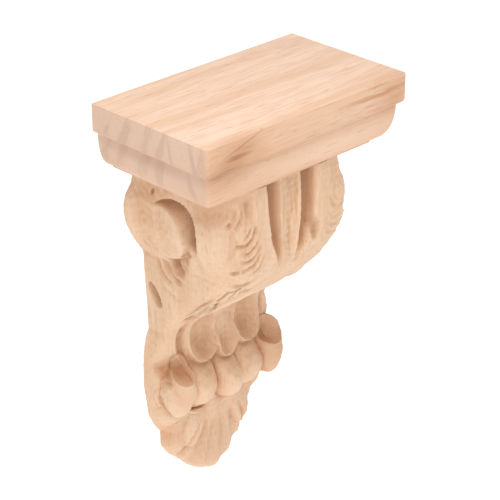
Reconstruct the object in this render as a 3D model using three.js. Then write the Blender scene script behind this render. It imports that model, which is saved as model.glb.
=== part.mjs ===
// A small carved wood bracket (corbel), in millimetres, +Z up.
// The wall is the plane y = 0 and the front faces -Y. The bracket is two glued pieces:
// a moulded cap board, and under it one carved block with ears, a leaf, a narrow neck,
// a pair of knobs and a scalloped leaf that closes on the wall.
import * as THREE from 'three';
import { mergeVertices } from 'three/addons/utils/BufferGeometryUtils.js';

// The whole bracket
const BRACKET_WIDTH = 100;
const BRACKET_DEPTH = 58.3;
const BRACKET_HEIGHT = 172.3;
const MOUNT_DROP = 84;

// The cap board, as wide and as deep as the bracket
const FASCIA_HEIGHT = 11.3;
const FASCIA_EASING = 0.7;
const FASCIA_CORNER = 1.6;
const STEP_IN = 2.2;
const STEP_HEIGHT = 1.1;
const OVOLO_REACH = 5.3;
const OVOLO_HEIGHT = 12.8;
const FILLET_IN = 1.2;
const FILLET_HEIGHT = 1.8;
const OVOLO_STEPS = 6;
const CORNER_STEPS = 3;

// The carved block
const BLOCK_WIDTH = 74.4;
const BLOCK_DEPTH = 49.6;
const GLUE_LINE = 0.3;

const CAP_HEIGHT = FASCIA_HEIGHT + STEP_HEIGHT + OVOLO_HEIGHT + FILLET_HEIGHT;
const BLOCK_TOP = -CAP_HEIGHT - GLUE_LINE;
const BLOCK_HEIGHT = BRACKET_HEIGHT + BLOCK_TOP;

// How finely the block is cut: columns are even along a section of this half-width, depth
// and squareness
const ROWS = 70;
const COLUMNS = 62;
const TYPICAL_SECTION = { halfWidth: 30, depth: 35, power: 5 };
const FAN_MIDDLE = 0.4;

// The carver's drawing is made for a block 74.4 wide, 49.6 deep and 145 high. Heights in it
// run from 0 under the cap to 145 at the tip, and widths and depths are in millimetres.
const DRAWN = { halfWidth: 37.2, depth: 49.6, height: 145 };

// Half-width at the wall: the round ear, the straight stem, the lower scroll and the scallops
const HALF_WIDTHS = [
  [0, 31.0], [8, 33.2], [13, 36.4], [17, 37.2], [22, 36.6], [30, 33.3], [35, 30.2], [38.6, 28.3],
  [46, 28.0], [71, 26.9], [75, 28.4], [83, 29.8], [93, 30.1], [104, 28.9], [109, 28.2],
  [116, 25.0], [120, 22.4], [125, 22.4], [130, 19.9], [137, 12.9], [141, 9.0], [145, 1.6],
];

// Depth on the middle line: the upper roll, the hollow neck, and the leaf that runs out on the wall
const DEPTHS = [
  [0, 48.6], [7, 49.2], [20, 49.6], [29, 49.0], [35, 47.0], [40, 44.0], [45, 39.6], [49, 35.4],
  [53, 30.6], [57, 26.4], [61, 21.4], [65, 16.6], [70, 13.0], [76, 11.7], [83, 11.6], [95, 12.6],
  [103, 12.4], [109, 11.2], [115, 10.2], [123, 9.6], [133, 9.6], [138, 9.2], [142, 7.6], [145, 3.6],
];

// How square the section is: 2 is an ellipse and 6 is nearly a rounded rectangle
const SQUARENESS = [
  [0, 6], [43, 6], [53, 5.4], [63, 5.2], [73, 5.6], [84, 5.2], [97, 3.6], [106, 2.3], [145, 2.1],
];

// The side of the ear: a boss lies a little behind its rim, and a deep crescent is hollowed
// between the boss and the front corner, deepest along its outer wall
const EAR_RIM = 5.0;
const EAR_FRONT = 35.5;
const BOSS_TOP = 5;
const BOSS_END = 39;
const BOSS_HALF_WIDTHS = [[0, 30.8], [9, 33.4], [13, 34.8], [21, 34.8], [29, 32.0], [35, 29.6], [39, 28.2]];
const BOSS = { middle: [16.6, 22.4], half: [10.8, 10.9] };
const CRESCENT = { middle: [23.4, 19.4], half: [13.6, 11.4] };
const CRESCENT_CUT = 0.62;
const CRESCENT_FADE = { from: 7, full: 17 };
const COVE_WALL = 0.7;
const BOSS_FOOT = [[13, 34.8], [16, 34.6], [20, 33.6], [24.5, 31.4], [29, 28.6], [33.6, 24.6]];
const BOSS_FOOT_CUT = 2.8;
const BOSS_FOOT_REACH = 8.5;
const SIDE_STROKES = [
  { line: [[8.2, 38], [9, 41.8], [12.2, 45.4], [18.2, 47.8]], width: 4.0, cut: 1.0 },
  { line: [[11.8, 36.4], [12.8, 40.2], [16.4, 43.6], [22.4, 44.8]], width: 4.2, cut: 1.5 },
];
const EDGE_GOUGE = { middle: [4.9, 55], half: [2.8, 5.8], lean: 28 };
const EDGE_GOUGE_CUT = 2.2;

// The front of the upper roll: a fluted rib between two grooves, and a leaf on each side
const GROOVE_CUT = 4.0;
const GROOVE_PLACES = [[0, 8.9], [15, 8.3], [25, 6.8], [33, 4.6], [39, 3.2]];
const GROOVE_HALF_WIDTHS = [[0, 3.3], [15, 3.1], [29, 2.2], [37, 1.6]];
const GROOVE_END = 37;
const RIB_FLUTE_CUT = 0.9;
const RIB_FLUTE_HALF_WIDTH = 3.8;
const LEAF_RISE = 1.0;
const LEAF_EDGE = [
  [0, 28.6], [12, 28.4], [15, 27.8], [19, 26.2], [22, 27.6], [25, 29.2], [29, 29.6], [31, 28.0],
  [33.5, 28.4], [37, 27.8], [42, 27.0], [49, 26.2], [56, 24.6], [63, 22.0],
];
const LEAF_END = 66;
const LEAF_STROKES = [
  { line: [[21.8, -1], [22, 6], [20.8, 13]], width: 4.6, cut: 1.9 },
  { line: [[26.2, 4.6], [26.2, 7.6], [27.8, 10.6], [30.6, 12.8]], width: 3.0, cut: 1.2 },
  { line: [[18.9, 12.6], [19.6, 16.2], [22, 19.4], [25.4, 20]], width: 3.0, cut: 2.0 },
  { line: [[26.2, 29.2], [21.6, 29.4], [17.8, 26.2], [16.4, 20]], width: 2.8, cut: 1.0 },
  { line: [[30, 30.2], [27.4, 30.9], [24.2, 30.5]], width: 2.8, cut: 1.4 },
  { line: [[26.6, 36.5], [20, 38.6], [13, 34.6]], width: 3.2, cut: 0.9 },
];

// Bowls turned up from the neck, hollow and open at the top: height of the rim away from the
// middle line, toward it and at the foot, distance of the floor from the wall, and width of
// the outer slope. Over its middle a bowl is rise high, and under it half[1].
const BOWLS = [
  {
    middle: [11.2, 75.4], half: [6.6, 9.4], rise: 13.5,
    outerRim: 2.6, innerRim: 5.4, lip: 5.0, floor: 10.0, edge: 3.0,
  },
  {
    middle: [0, 79.0], half: [4.8, 8.2], rise: 12.0,
    outerRim: 5.4, innerRim: 5.4, lip: 4.8, floor: 12.4, edge: 2.0,
  },
];

// Where a bowl's rim, and the bowl itself, fade out toward its open top, as shares of its
// half height over its middle, and how sharply its hollow turns up to the rim
const BOWL_RIM_FADE = { from: -0.75, full: 0.25 };
const BOWL_FADE = { from: -1.1, full: -0.8 };
const BOWL_TURN_UP = 3.2;

// Full rounded lobes; tip is in degrees from straight out toward straight down
const PADS = [
  { middle: [0, 95.6], halfWidth: 5.6, halfLength: 11.4, tip: 90, height: 10.2 },
  { middle: [12.2, 95.4], halfWidth: 7.4, halfLength: 11.2, tip: 93, height: 6.8 },
  { middle: [24.0, 109.0], halfWidth: 5.2, halfLength: 7.0, tip: 62, height: 1.6 },
  { middle: [19.0, 121.0], halfWidth: 4.6, halfLength: 8.0, tip: 72, height: 1.0 },
  { middle: [12.4, 118.0], halfWidth: 4.6, halfLength: 9.5, tip: 80, height: 2.2 },
];
const NECK_GROOVE = { line: [[19.8, 64], [21.4, 72], [21.2, 79], [19, 87]], width: 4.4, cut: 1.3 };

// The knobs of the lower scroll stand out at both sides, and each is scooped out from above.
// The corner between a knob and the block is rounded, more at its foot. The scoop starts where
// a ray is well inside its ball, so its rim has no step.
const KNOB = { middle: [23.8, 13.6], radius: 6.2, down: 92.4, rise: 12.3, drop: 13.4 };
const LADLE = { middle: [22.0, 16.2], radius: 5.7, down: 84.8, rise: 7.2, drop: 5.0 };
const KNOB_BLEND = { top: 1.2, foot: 4.8, from: 85, full: 92 };
const LADLE_BLEND = 0.8;
const LADLE_EDGE = 0.4;
// On the scroll's outer face: a hollow over a straight ridge, and a shallow round cup
const SCROLL_RIDGE = { from: [4.5, 86], to: [17.5, 98], cut: 2.2, width: 7.5 };
const SCROLL_EYE = { middle: [10.6, 101], half: [5.4, 7.2], lean: 20 };
const SCROLL_EYE_RISE = 1.6;
const SCROLL_EYE_CUT = 1.1;
const SCROLL_EYE_RIM = 0.72;
// That face starts this far out and this far down
const SCROLL_FACE = { out: [22, 25], down: [60, 70] };

// Rays that find the knobs start on the wall line, this share of the way in from the side
const RAY_SPREAD = 0.15;

// The flutes of the bottom leaf fan out from one point
const FAN = { down: 94, halfAngle: 26, flutes: 4, from: 20, full: 30, rise: 1.3 };

// The carving never comes nearer to the wall than this share of the plain form's depth
const LEAST_DEPTH = 0.4;

const clamp = (value, low, high) => Math.min(Math.max(value, low), high);

function smooth(from, to, value) {
  const t = clamp((value - from) / (to - from), 0, 1);
  return t * t * (3 - 2 * t);
}

// A smooth curve through stations [place, value] that never overshoots them
function along(stations, place) {
  const last = stations.length - 1;
  if (place <= stations[0][0]) return stations[0][1];
  if (place >= stations[last][0]) return stations[last][1];
  let i = 0;
  while (place > stations[i + 1][0]) i += 1;
  const slope = (k) => (stations[k + 1][1] - stations[k][1]) / (stations[k + 1][0] - stations[k][0]);
  const tangent = (k) => {
    if (k === 0) return slope(0);
    if (k === last) return slope(last - 1);
    const before = slope(k - 1);
    const after = slope(k);
    return before * after <= 0 ? 0 : (2 * before * after) / (before + after);
  };
  const span = stations[i + 1][0] - stations[i][0];
  const t = (place - stations[i][0]) / span;
  const start = stations[i][1] * (1 + 2 * t) * (1 - t) ** 2 + tangent(i) * span * t * (1 - t) ** 2;
  const end = stations[i + 1][1] * t * t * (3 - 2 * t) + tangent(i + 1) * span * t * t * (t - 1);
  return start + end;
}

// Distance from (p, q) to a broken line, and the share of the line passed at the nearest point
function nearestOn(line, p, q) {
  let best = { distance: Infinity, share: 0 };
  const steps = line.length - 1;
  for (let i = 0; i < steps; i += 1) {
    const [ap, aq] = line[i];
    const [bp, bq] = line[i + 1];
    const length2 = (bp - ap) ** 2 + (bq - aq) ** 2;
    const t = clamp(((p - ap) * (bp - ap) + (q - aq) * (bq - aq)) / length2, 0, 1);
    const distance = Math.hypot(p - ap - t * (bp - ap), q - aq - t * (bq - aq));
    if (distance < best.distance) best = { distance, share: (i + t) / steps };
  }
  return best;
}

// Depth of a rounded groove that fades at both its ends
function strokeCut(stroke, p, q) {
  const { distance, share } = nearestOn(stroke.line, p, q);
  const across = clamp(1 - (distance / (stroke.width / 2)) ** 2, 0, 1);
  return stroke.cut * across * smooth(0, 0.2, share + 0.02) * smooth(0, 0.2, 1.02 - share);
}

// 1 on the rim of an ellipse that leans by some degrees, less inside it and more outside
function awayFrom(p, q, { middle, half, lean = 0 }) {
  const turn = THREE.MathUtils.degToRad(lean);
  const dp = p - middle[0];
  const dq = q - middle[1];
  const across = (dp * Math.cos(turn) - dq * Math.sin(turn)) / half[0];
  const downward = (dp * Math.sin(turn) + dq * Math.cos(turn)) / half[1];
  return Math.hypot(across, downward);
}

// A round hollow or dome, 1 in its middle and 0 from out = 1 on
const dish = (out, power) => clamp(1 - out ** 2, 0, 1) ** power;

// How far the surface stands over the plain form, for a point on its side face
function sideCarving(depth, down) {
  const boss = Math.max(along(HALF_WIDTHS, down) - along(BOSS_HALF_WIDTHS, down), 0);
  const pastRim = smooth(EAR_RIM - 3.5, EAR_RIM + 4, depth);
  const insideRim = pastRim * (1 - smooth(EAR_FRONT - 2.5, EAR_FRONT + 2.5, depth));
  const betweenEnds = smooth(BOSS_TOP, BOSS_TOP + 5, down) * (1 - smooth(BOSS_END - 9, BOSS_END + 2, down));
  let height = -boss * insideRim * betweenEnds;
  const pastBoss = Math.max((awayFrom(depth, down, BOSS) - 1) * BOSS.half[0], 0);
  const toWall = Math.max((1 - awayFrom(depth, down, CRESCENT)) * CRESCENT.half[0], 0);
  if (pastBoss > 0 && toWall > 0) {
    const width = pastBoss + toWall;
    const share = pastBoss / width;
    const floor = 1 - (1 - share / COVE_WALL) ** 2;
    const wall = Math.sqrt(clamp(1 - ((share - COVE_WALL) / (1 - COVE_WALL)) ** 2, 0, 1));
    const fade = smooth(CRESCENT_FADE.from, CRESCENT_FADE.full, depth);
    height -= CRESCENT_CUT * width * (share < COVE_WALL ? floor : wall) * fade;
  }
  const [footStart, footEnd] = [BOSS_FOOT[0][0], BOSS_FOOT[BOSS_FOOT.length - 1][0]];
  const underFoot = down - along(BOSS_FOOT, depth);
  const foot = smooth(-0.6, 0.6, underFoot) * smooth(footStart - 1, footStart + 3, depth);
  const footFade = (1 - smooth(0, BOSS_FOOT_REACH, underFoot)) * (1 - smooth(footEnd - 3, footEnd, depth));
  height -= BOSS_FOOT_CUT * foot * footFade;
  for (const stroke of SIDE_STROKES) height -= strokeCut(stroke, depth, down);
  return height - EDGE_GOUGE_CUT * dish(awayFrom(depth, down, EDGE_GOUGE), 0.6);
}

// The same for a point on the front of the upper roll, side millimetres off the middle line
function frontCarving(side, down) {
  const live = 1 - smooth(GROOVE_END - 10, GROOVE_END, down);
  const groove = (side - along(GROOVE_PLACES, down)) / along(GROOVE_HALF_WIDTHS, down);
  let height = -GROOVE_CUT * live * dish(groove, 0.75);
  height -= RIB_FLUTE_CUT * live * dish(side / RIB_FLUTE_HALF_WIDTH, 1);
  const edge = along(LEAF_EDGE, down);
  const onLeaf = 1 - smooth(edge - 0.7, edge + 0.6, side);
  height += LEAF_RISE * onLeaf * (1 - smooth(LEAF_END - 10, LEAF_END, down));
  for (const stroke of LEAF_STROKES) height -= strokeCut(stroke, side, down);
  return height;
}

// Height of a bowl, and how much it covers what is under it
function bowlHeight(bowl, side, down) {
  const across = (side - bowl.middle[0]) / bowl.half[0];
  const toFoot = (down - bowl.middle[1]) / (down < bowl.middle[1] ? bowl.rise : bowl.half[1]);
  const out = Math.max(Math.hypot(across, toFoot), 0.01);
  const atFoot = smooth(0.2, 1, toFoot / out);
  const beside = bowl.innerRim + ((bowl.outerRim - bowl.innerRim) * (across / out + 1)) / 2;
  const open = smooth(BOWL_RIM_FADE.from, BOWL_RIM_FADE.full, toFoot);
  const rim = (beside + (bowl.lip - beside) * atFoot) * open;
  const slope = 1 - smooth(0, bowl.edge, (out - 1) * bowl.half[0]);
  const hollow = (bowl.floor - along(DEPTHS, down)) * dish(out, 0.6) + rim * out ** BOWL_TURN_UP;
  const height = out < 1 ? hollow : rim * slope;
  return { height, cover: slope * smooth(BOWL_FADE.from, BOWL_FADE.full, toFoot) };
}

function padHeight(pad, side, down) {
  const turn = THREE.MathUtils.degToRad(pad.tip);
  const ds = side - pad.middle[0];
  const dd = down - pad.middle[1];
  const toTip = (ds * Math.cos(turn) + dd * Math.sin(turn)) / pad.halfLength;
  const across = (dd * Math.cos(turn) - ds * Math.sin(turn)) / pad.halfWidth;
  return pad.height * dish(Math.hypot(toTip, across), 0.55) * smooth(-1.2, 0.3, toTip);
}

function lowerCarving(side, down) {
  let height = 0;
  for (const pad of PADS) height = Math.max(height, padHeight(pad, side, down));
  for (const bowl of BOWLS) {
    const here = bowlHeight(bowl, side, down);
    height += (here.height - height) * here.cover;
  }
  height -= strokeCut(NECK_GROOVE, side, down);
  const angle = THREE.MathUtils.radToDeg(Math.atan2(side, down - FAN.down));
  if (angle > FAN.halfAngle) return height;
  const wave = (Math.cos((angle / FAN.halfAngle) * FAN.flutes * Math.PI) - 1) / 2;
  return height + FAN.rise * wave * smooth(FAN.from, FAN.full, Math.hypot(side, down - FAN.down));
}

// The same for a point on the outer face of the lower scroll: a hollow over a slanting ridge,
// and a shallow cup with a round rim
function scrollCarving(depth, down) {
  const { from, to, cut, width } = SCROLL_RIDGE;
  const length = Math.hypot(to[0] - from[0], to[1] - from[1]);
  const run = [(to[0] - from[0]) / length, (to[1] - from[1]) / length];
  const passed = ((depth - from[0]) * run[0] + (down - from[1]) * run[1]) / length;
  const above = (depth - from[0]) * run[1] - (down - from[1]) * run[0];
  const beside = smooth(-0.1, 0.15, passed) * (1 - smooth(0.5, 0.95, passed));
  const eye = awayFrom(depth, down, SCROLL_EYE);
  let height = -cut * smooth(-0.2, 1.2, above) * (1 - smooth(1.5, width, above)) * beside;
  height += SCROLL_EYE_RISE * dish(eye, 0.5) - SCROLL_EYE_CUT * dish(eye / SCROLL_EYE_RIM, 0.9);
  return height;
}

// Distances along a ray to where it enters and leaves an upright ball, or null where it misses
function ballOnRay(ball, start, run, down) {
  const halfHeight = down < ball.down ? ball.rise : ball.drop;
  const level = 1 - ((down - ball.down) / halfHeight) ** 2;
  const gapX = ball.middle[0] - start;
  const gapY = ball.middle[1];
  const middle = run[0] * gapX + run[1] * gapY;
  const inside = middle ** 2 - gapX ** 2 - gapY ** 2 + level * ball.radius ** 2;
  if (level <= 0 || inside <= 0) return null;
  const half = Math.sqrt(inside);
  return { enters: middle - half, leaves: middle + half, centred: half / ball.radius };
}

// The larger of two, with the corner between them rounded off
function smoothMax(a, b, blend) {
  const h = clamp(0.5 + (0.5 * (a - b)) / blend, 0, 1);
  return b + (a - b) * h + blend * h * (1 - h);
}

// One point of the carved surface: angle 0 is the wall edge on -X and PI the one on +X
function blockPoint(angle, down) {
  const c = Math.cos(angle);
  const s = Math.sin(angle);
  const halfWidth = along(HALF_WIDTHS, down);
  const deep = along(DEPTHS, down);
  const power = along(SQUARENESS, down);
  const plainReach = (Math.abs(c / halfWidth) ** power + Math.abs(s / deep) ** power) ** (-1 / power);
  const side = Math.abs(c) * plainReach;
  const depth = s * plainReach;
  // The plain section's own normal, pointing out
  const towardSide = (side / halfWidth) ** (power - 1) / halfWidth;
  const towardFront = (depth / deep) ** (power - 1) / deep;
  const size = Math.hypot(towardSide, towardFront);
  const facingSide = towardSide / size;
  const facingFront = towardFront / size;
  let height = smooth(0.45, 0.75, facingSide) * sideCarving(depth, down);
  height += (1 - smooth(0.5, 0.8, facingSide)) * frontCarving(side, down);
  const start = side * (1 - RAY_SPREAD);
  const length = Math.hypot(side - start, depth);
  const run = [(side - start) / length, depth / length];
  let reach = length + (1 - smooth(0.6, 0.9, facingSide)) * lowerCarving(side, down);
  const knob = ballOnRay(KNOB, start, run, down);
  if (knob) {
    const ladle = ballOnRay(LADLE, start, run, down);
    let rim = knob.leaves;
    if (ladle && ladle.enters > 0 && ladle.enters < rim) {
      const scooped = -smoothMax(-rim, -ladle.enters, LADLE_BLEND);
      rim += (scooped - rim) * smooth(0, LADLE_EDGE, ladle.centred);
    }
    const lower = smooth(KNOB_BLEND.from, KNOB_BLEND.full, down);
    reach = smoothMax(reach, rim, KNOB_BLEND.top + (KNOB_BLEND.foot - KNOB_BLEND.top) * lower);
  }
  let out = start + run[0] * reach + facingSide * height;
  const front = run[1] * reach + facingFront * height;
  out += smooth(...SCROLL_FACE.out, out) * smooth(...SCROLL_FACE.down, down) * scrollCarving(front, down);
  return [-Math.sign(c) * out, -Math.max(front, LEAST_DEPTH * depth)];
}

// Angles whose points are evenly spaced along a typical section of the block
function evenAngles(count) {
  const { halfWidth, depth, power } = TYPICAL_SECTION;
  const steps = 2000;
  let length = 0;
  let last = [halfWidth, 0];
  const lengths = [0];
  for (let i = 1; i <= steps; i += 1) {
    const angle = (Math.PI * i) / steps;
    const c = Math.cos(angle);
    const s = Math.sin(angle);
    const reach = (Math.abs(c / halfWidth) ** power + Math.abs(s / depth) ** power) ** (-1 / power);
    length += Math.hypot(c * reach - last[0], s * reach - last[1]);
    last = [c * reach, s * reach];
    lengths.push(length);
  }
  const angles = [0];
  let i = 1;
  for (let k = 1; k < count; k += 1) {
    const wanted = (length * k) / count;
    while (lengths[i] < wanted) i += 1;
    const share = (wanted - lengths[i - 1]) / (lengths[i] - lengths[i - 1]);
    angles.push((Math.PI * (i - 1 + share)) / steps);
  }
  angles.push(Math.PI);
  return angles;
}

function makeBlock() {
  const scale = [BLOCK_WIDTH / 2 / DRAWN.halfWidth, BLOCK_DEPTH / DRAWN.depth, BLOCK_HEIGHT / DRAWN.height];
  const positions = [];
  const index = [];
  const stride = COLUMNS + 1;
  const angles = evenAngles(COLUMNS);
  for (let row = 0; row <= ROWS; row += 1) {
    const down = (DRAWN.height * row) / ROWS;
    for (let column = 0; column <= COLUMNS; column += 1) {
      const [x, y] = blockPoint(angles[column], down);
      const onWall = column === 0 || column === COLUMNS;
      positions.push(x * scale[0], onWall ? 0 : y * scale[1], BLOCK_TOP - down * scale[2]);
    }
  }
  for (let row = 0; row < ROWS; row += 1) {
    const above = row * stride;
    const below = above + stride;
    for (let column = 0; column < COLUMNS; column += 1) {
      const a = above + column;
      const b = below + column;
      index.push(a, b, a + 1, a + 1, b, b + 1);
    }
    index.push(above, above + COLUMNS, below, above + COLUMNS, below + COLUMNS, below);
  }
  // Flat top under the glue line, and the small flat at the tip, each a fan about its middle
  const tip = ROWS * stride;
  const middle = positions.length / 3;
  positions.push(0, -BLOCK_DEPTH * FAN_MIDDLE, BLOCK_TOP);
  positions.push(0, -along(DEPTHS, DRAWN.height) * FAN_MIDDLE * scale[1], BLOCK_TOP - BLOCK_HEIGHT);
  for (let column = 0; column < COLUMNS; column += 1) {
    index.push(middle, column, column + 1);
    index.push(middle + 1, tip + column + 1, tip + column);
  }
  index.push(middle, COLUMNS, 0, middle + 1, tip, tip + COLUMNS);
  const geometry = new THREE.BufferGeometry();
  geometry.setAttribute('position', new THREE.Float32BufferAttribute(positions, 3));
  geometry.setIndex(index);
  return geometry;
}

// The cap's moulding from the top down, as [distance in from the fascia, height]
function capProfile() {
  const profile = [[FASCIA_EASING, 0], [0, -FASCIA_EASING]];
  profile.push([0, -FASCIA_HEIGHT + FASCIA_CORNER]);
  profile.push([FASCIA_CORNER * 0.3, -FASCIA_HEIGHT + FASCIA_CORNER * 0.3]);
  profile.push([FASCIA_CORNER, -FASCIA_HEIGHT]);
  profile.push([STEP_IN, -FASCIA_HEIGHT]);
  const start = FASCIA_HEIGHT + STEP_HEIGHT;
  for (let i = 0; i <= OVOLO_STEPS; i += 1) {
    const turn = ((Math.PI / 2) * i) / OVOLO_STEPS;
    profile.push([STEP_IN + OVOLO_REACH * (1 - Math.cos(turn)), -start - OVOLO_HEIGHT * Math.sin(turn)]);
  }
  profile.push([STEP_IN + OVOLO_REACH + FILLET_IN, -start - OVOLO_HEIGHT]);
  profile.push([STEP_IN + OVOLO_REACH + FILLET_IN, -CAP_HEIGHT]);
  return profile;
}

// One level of the cap seen from above: square at the wall, rounded at the two front corners
function capLevel(inset) {
  const half = BRACKET_WIDTH / 2 - inset;
  const depth = BRACKET_DEPTH - inset;
  const points = [[-half, 0]];
  for (const sign of [-1, 1]) {
    for (let i = 0; i <= CORNER_STEPS; i += 1) {
      const share = sign < 0 ? i / CORNER_STEPS : 1 - i / CORNER_STEPS;
      const turn = (Math.PI / 2) * share;
      const x = half - FASCIA_CORNER * (1 - Math.cos(turn));
      const y = depth - FASCIA_CORNER * (1 - Math.sin(turn));
      points.push([sign * x, -y]);
    }
  }
  points.push([half, 0]);
  return points;
}

function makeCap() {
  const positions = [];
  const index = [];
  const profile = capProfile();
  for (const [inset, height] of profile) {
    for (const [x, y] of capLevel(inset)) positions.push(x, y, height);
  }
  const stride = positions.length / 3 / profile.length;
  for (let level = 0; level < profile.length - 1; level += 1) {
    for (let i = 0; i < stride; i += 1) {
      const a = level * stride + i;
      const b = level * stride + ((i + 1) % stride);
      index.push(a, a + stride, b, b, a + stride, b + stride);
    }
  }
  const base = (profile.length - 1) * stride;
  for (let i = 1; i < stride - 1; i += 1) {
    index.push(0, i, i + 1);
    index.push(base, base + i + 1, base + i);
  }
  const geometry = new THREE.BufferGeometry();
  geometry.setAttribute('position', new THREE.Float32BufferAttribute(positions, 3));
  geometry.setIndex(index);
  return geometry;
}

function woodMesh(name, geometry, colour) {
  const merged = mergeVertices(geometry, 1e-5);
  merged.computeVertexNormals();
  const material = new THREE.MeshStandardMaterial({ color: colour, roughness: 0.6, metalness: 0 });
  const mesh = new THREE.Mesh(merged, material);
  mesh.name = name;
  return mesh;
}

// The group's origin is on the wall, on the middle line, MOUNT_DROP under the top of the cap
const bracket = new THREE.Group();
const standing = new THREE.Group();
standing.position.set(0, 0, MOUNT_DROP);
standing.add(woodMesh('cap_board', makeCap(), 0xe9cba8));
standing.add(woodMesh('carved_block', makeBlock(), 0xe6c49e));
bracket.add(standing);

export default bracket;
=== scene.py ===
# %% [markdown]
# A small carved wood corbel: a moulded cap board glued over one carved block. The block has a
# big scroll with ears at the top, an acanthus leaf over its front, a narrow neck, a pair of
# lower scrolls and a scalloped leaf that closes on the wall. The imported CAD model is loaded
# first, because it fixes every size and place. Then the cap is made again with crisp eased
# edges, and the block is carved again at a fine spacing, with the chisel strokes, pores and
# torn grain of raw rubberwood.

# %% Load the frame and keep the CAD box
import math
import bpy
import numpy as np
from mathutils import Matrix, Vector


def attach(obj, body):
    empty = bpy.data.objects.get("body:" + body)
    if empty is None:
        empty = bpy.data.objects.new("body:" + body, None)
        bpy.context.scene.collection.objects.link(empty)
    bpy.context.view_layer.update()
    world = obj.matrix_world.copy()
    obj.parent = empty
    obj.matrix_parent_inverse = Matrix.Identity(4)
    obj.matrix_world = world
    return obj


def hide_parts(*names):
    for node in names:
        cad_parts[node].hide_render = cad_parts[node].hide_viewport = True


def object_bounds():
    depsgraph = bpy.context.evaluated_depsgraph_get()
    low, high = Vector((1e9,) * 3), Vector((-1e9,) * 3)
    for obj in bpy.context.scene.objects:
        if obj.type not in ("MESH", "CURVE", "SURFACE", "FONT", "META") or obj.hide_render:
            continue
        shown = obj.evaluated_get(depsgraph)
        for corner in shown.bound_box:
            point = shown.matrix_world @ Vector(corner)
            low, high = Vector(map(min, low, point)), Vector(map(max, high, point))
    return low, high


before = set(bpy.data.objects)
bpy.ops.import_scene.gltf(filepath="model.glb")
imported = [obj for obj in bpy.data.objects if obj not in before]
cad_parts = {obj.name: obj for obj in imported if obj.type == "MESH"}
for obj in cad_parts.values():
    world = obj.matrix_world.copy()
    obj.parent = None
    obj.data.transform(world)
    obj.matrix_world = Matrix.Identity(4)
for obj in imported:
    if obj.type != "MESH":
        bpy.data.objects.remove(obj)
cad_box = [list(corner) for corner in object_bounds()]
MM = 0.001
print("CAD box in mm", [[round(v / MM, 1) for v in corner] for corner in cad_box])

# %% [markdown]
# The camera stands in front and to the left of the corbel and looks down on it, with a long
# lens. The picture is slightly off the lens's middle, so a small shift takes that up. It is
# set by angles and a distance, as a photographer would note them.

# %% Camera
CAMERA_AZIMUTH = -44.68
CAMERA_ELEVATION = 27.27
CAMERA_DISTANCE = 0.686
CAMERA_AIM = Vector((0, -0.030, 0.014))
SENSOR_WIDTH = 36
LENS = 132.8
SHIFT = (-0.0084, 0.0278)
NEAREST_SEEN = 0.01


def from_angles(azimuth, elevation):
    """The direction from the object to a viewer. Azimuth 0 is the front."""
    a, e = math.radians(azimuth), math.radians(elevation)
    return Vector((math.sin(a) * math.cos(e), -math.cos(a) * math.cos(e), math.sin(e)))


def deselect():
    bpy.ops.object.select_all(action="DESELECT")


bpy.ops.object.camera_add()
camera = bpy.context.object
camera.name = "camera"
camera.data.sensor_width = SENSOR_WIDTH
camera.data.lens = LENS
camera.data.shift_x, camera.data.shift_y = SHIFT
camera.data.clip_start = NEAREST_SEEN
away = from_angles(CAMERA_AZIMUTH, CAMERA_ELEVATION)
camera.location = CAMERA_AIM + away * CAMERA_DISTANCE
camera.rotation_euler = (-away).to_track_quat("-Z", "Y").to_euler()
bpy.context.scene.camera = camera
print("camera at", [round(v, 3) for v in camera.location])

# %% [markdown]
# The corbel is lit as small goods are for a catalogue: a bright white room, one large soft
# light overhead, a weaker one from the front left, and a white floor far enough down that no
# shadow of the corbel reaches the picture. The standard view keeps the pale wood's own colours.

# %% Floor, room and lights
FLOOR_DROP = 0.30
FLOOR_SIZE = 12
ROOM_STRENGTH = 0.55
WHITE = (1, 1, 1, 1)
PAPER_COLOUR = (0.93, 0.93, 0.93, 1)
PAPER_ROUGHNESS = 0.9
PAPER_GLOW = 0.5

bpy.context.scene.view_settings.view_transform = "Standard"
world = bpy.data.worlds.new("white_room")
bpy.context.scene.world = world
world.use_nodes = True
room = world.node_tree.nodes["Background"]
room.inputs["Color"].default_value = WHITE
room.inputs["Strength"].default_value = ROOM_STRENGTH


def add_light(name, azimuth, elevation, distance, size, power):
    """A square soft light that faces the corbel."""
    bpy.ops.object.light_add(type="AREA")
    light = bpy.context.object
    light.name = name
    light.data.size = size
    light.data.energy = power
    toward = from_angles(azimuth, elevation)
    light.location = CAMERA_AIM + toward * distance
    light.rotation_euler = (-toward).to_track_quat("-Z", "Y").to_euler()
    return light


add_light("top_softbox", azimuth=-40, elevation=70, distance=1.1, size=0.8, power=7.9)
add_light("front_softbox", azimuth=-50, elevation=25, distance=1.3, size=1.0, power=2.1)

deselect()
bpy.ops.mesh.primitive_plane_add(size=FLOOR_SIZE, location=(0, 0, cad_box[0][2] - FLOOR_DROP))
floor = bpy.context.object
floor.name = "floor"
paper = bpy.data.materials.new("white_paper")
paper.use_nodes = True
paper_shader = paper.node_tree.nodes["Principled BSDF"]
paper_shader.inputs["Base Color"].default_value = PAPER_COLOUR
paper_shader.inputs["Roughness"].default_value = PAPER_ROUGHNESS
paper_shader.inputs["Emission Color"].default_value = WHITE
paper_shader.inputs["Emission Strength"].default_value = PAPER_GLOW
floor.data.materials.append(paper)
print("floor at", round(floor.location.z, 3))

# %% [markdown]
# Every outline on the corbel is a smooth curve through a few measured stations, in
# millimetres. Four small helpers do most of the carving: a soft step, a smooth curve through
# stations, the distance to a drawn line, and the hollow that one gouge stroke leaves along
# such a line. They work on whole arrays, so the fine surface is still quick to make. A pair
# such as (24, 37) is a range: what it names starts at the first value and is full at the second.


# %% Carving helpers
NOT_ZERO = 0.01
PROUD_EDGE = 0.25
PROUD_EDGE_WIDTH = 0.4
BLUNT_END = 0.02


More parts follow.
